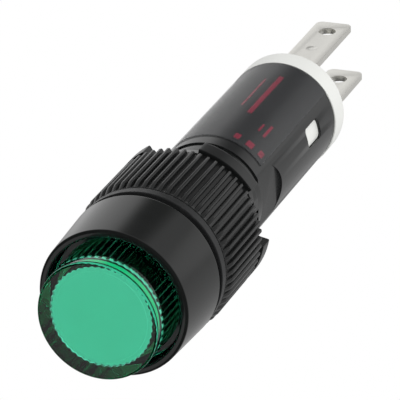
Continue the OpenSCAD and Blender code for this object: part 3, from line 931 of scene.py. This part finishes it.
blade_thick, blade_half_w, blade_level = 0.4, 1.2, 2.07
hole_inset, hole_r, dimple_pitch = 1.55, 0.55, 2.98


def make_blade(node, side):
    """Flat blade with eased edges and a wire hole, joined to its cranked foot on the board."""
    low, high = span(node)
    thick, half_w, level = blade_thick, blade_half_w, side * blade_level
    root, end, corner, edge = 17.85, high[1], 0.45, 0.035
    rim = filleted([(half_w, root, 0), (half_w, end, corner), (-half_w, end, corner), (-half_w, root, 0)], 8)
    hole_y = end - hole_inset
    round_hole = np.linspace(0, 2 * np.pi, 41)[:-1]
    hole = [(hole_r * math.cos(a), hole_y + hole_r * math.sin(a)) for a in round_hole]
    sheet = bpy.data.curves.new("blade_outline", "CURVE")
    sheet.dimensions = "2D"
    sheet.fill_mode = "BOTH"
    sheet.extrude = (thick / 2 - edge) * MM
    sheet.bevel_depth = edge * MM
    sheet.bevel_resolution = 2
    sheet.offset = -edge * MM
    for points in (rim, hole):
        line = sheet.splines.new("POLY")
        line.points.add(len(points) - 1)
        for point, (x, y) in zip(line.points, points):
            point.co = (x * MM, y * MM, 0, 1)
        line.use_cyclic_u = True
    obj = bpy.data.objects.new("blade_work", sheet)
    bpy.context.collection.objects.link(obj)
    graph = bpy.context.evaluated_depsgraph_get()
    mesh = bpy.data.meshes.new_from_object(obj.evaluated_get(graph))
    bpy.data.objects.remove(obj)
    work = bmesh.new()
    work.from_mesh(mesh)
    bmesh.ops.translate(work, vec=(0, 0, level * MM), verts=work.verts)
    foot_z = low[2] + thick / 2 if side > 0 else high[2] - thick / 2
    rise = level - foot_z
    foot = [(low[1], 0), (low[1] + 1.3, 0), (root - 0.4, rise), (root + 0.3, rise)]
    ends = []
    for x in (-0.6, 0.6):
        under = [(y, foot_z + z - thick / 2) for y, z in foot]
        over = [(y, foot_z + z + thick / 2) for y, z in reversed(foot)]
        ends.append([work.verts.new((x * MM, y * MM, z * MM)) for y, z in under + over])
        work.faces.new(ends[-1])
    for i in range(8):
        j = (i + 1) % 8
        work.faces.new((ends[0][i], ends[0][j], ends[1][j], ends[1][i]))
    bmesh.ops.remove_doubles(work, verts=work.verts, dist=1e-7)
    bmesh.ops.recalc_face_normals(work, faces=work.faces)
    work.to_mesh(mesh)
    work.free()
    return mesh


for node, side in (("terminal_upper", 1), ("terminal_lower", -1)):
    dimple_y = span(node)[1][1] - hole_inset - dimple_pitch
    finish = tinned_brass(node, dimple_y)
    name = node.replace("terminal", "blade")
    piece(name, make_blade(node, side), finish, "barrel", "tinned", node, sharp=30)


def make_film():
    """Thin film wrapped over the top of the body."""
    low, high = span("label_film")
    inner, outer = 3.562, 3.62
    profile = [(outer, low[1]), (outer, high[1]), (inner, high[1]), (inner, low[1])]
    points, faces = sector(profile, 33, 155, 96)
    return closed_mesh("film", points, faces, merge=1e-6)


piece("wrap_film", make_film(), printed_film, "barrel", "film", "label_film")


# ---------------------------------------------------------------- finishes on the CAD nodes inside
inner_finishes = {
    "lens_seal": seal_rubber,
    "led_holder": moulded_white,
    "led_lamp": lamp_epoxy(),
    "led_leads": tin,
    "circuit_board": board_green(),
    "series_resistor": banded_resistor(),
    "resistor_leads": tin,
    "bridge_rectifier": case_black,
    "rectifier_legs": tin,
    "solder_joints": solder(),
}
for node, finish in inner_finishes.items():
    for place in frame["nodes"][node].material_slots:
        place.material = finish


# ---------------------------------------------------------------- studio
white = (1, 1, 1)


def white_world():
    """World that is plain white to the eye and softer as light."""
    world = bpy.data.worlds.new("white_studio")
    bpy.context.scene.world = world
    f = Finish("white_studio", world)
    soft = f.node("ShaderNodeBackground", None, {"Color": white, "Strength": 0.72})
    plain = f.node("ShaderNodeBackground", None, {"Color": white, "Strength": 1.0})
    f.surface(f.white_to_the_eye(soft, plain))


def staged(name, mesh, material):
    """Puts a mesh in the scene as part of the studio."""
    mesh.materials.append(material)
    obj = bpy.data.objects.new(name, mesh)
    bpy.context.collection.objects.link(obj)
    return obj


def pale_floor(half, level):
    """Plain floor that keeps the lamp's shadow and looks white elsewhere."""
    f = Finish("pale_floor")
    lit = f.node("ShaderNodeBsdfDiffuse", None, {"Color": (0.82, 0.82, 0.82)})
    glow = f.node("ShaderNodeEmission", None, {"Color": white})
    corners = [(-half, -half), (half, -half), (half, half), (-half, half)]
    mesh = bpy.data.meshes.new("floor")
    mesh.from_pydata([(x * MM, y * MM, level * MM) for x, y in corners], [], [(0, 1, 2, 3)])
    staged("floor", mesh, f.surface(f.white_to_the_eye(lit, glow)))


white_world()
pale_floor(3000, -95)


class Tent(Finish):
    """Glow of the reflection tent by direction from the lamp's middle."""

    def patch(self, across, along, up, wide, soft):
        """1 towards a direction, 0 beyond wide + soft degrees from it."""
        aim = Vector((across, along, up)).normalized()
        toward = self.node("ShaderNodeVectorMath", {"operation": "NORMALIZE"}, {0: self.where})
        dot = {"operation": "DOT_PRODUCT"}
        closeness = self.node("ShaderNodeVectorMath", dot, {0: toward, 1: tuple(aim)}, output=1)
        return closeness.step(math.cos(math.radians(wide + soft)), math.cos(math.radians(wide)))


def reflection_tent(radius):
    """Round tent that only gloss sees: dark in front, grey behind, with panels, a card and a flag."""
    f = Tent("tent_glow")
    behind = f.patch(0, 1, 0, 58, 24)
    panel = f.patch(-0.48, 0.84, 0.24, 16, 16)
    side_panel = f.patch(0.53, 0.84, 0.19, 7, 10)
    flag = f.patch(0.0, 0.84, 0.54, 8, 12)
    card = f.patch(-0.35, -0.84, -0.42, 9, 9)
    level = 0.03 + card * 0.6 + behind * 0.46 + panel * 0.42 + side_panel * 0.26 - flag * 0.4
    glow = f.node("ShaderNodeEmission", None, {"Color": level.clip(0.03, 1)})
    mesh = bpy.data.meshes.new("tent")
    ball = bmesh.new()
    bmesh.ops.create_icosphere(ball, subdivisions=4, radius=radius * MM)
    ball.to_mesh(mesh)
    ball.free()
    tent = staged("tent", mesh, f.surface(glow))
    tent.visible_camera = tent.visible_diffuse = tent.visible_shadow = tent.visible_transmission = False


reflection_tent(80)


def soft_lamp(name, place, aim, size, watts):
    """Round area lamp aimed at a point, left out of the gloss."""
    data = bpy.data.lights.new(name, "AREA")
    data.shape = "DISK"
    data.size = size * MM
    data.energy = watts
    lamp = bpy.data.objects.new(name, data)
    bpy.context.collection.objects.link(lamp)
    turn = (Vector(aim) - Vector(place)).to_track_quat("-Z", "Y").to_matrix().to_4x4()
    lamp.matrix_world = Matrix.Translation(Vector(place) * MM) @ turn
    lamp.visible_glossy = False


lamp_middle = (0, 14, 0)
soft_lamp("key_lamp", (430, -160, 200), lamp_middle, 240, 1.0)
soft_lamp("fill_lamp", (-160, -260, 420), lamp_middle, 260, 0.25)
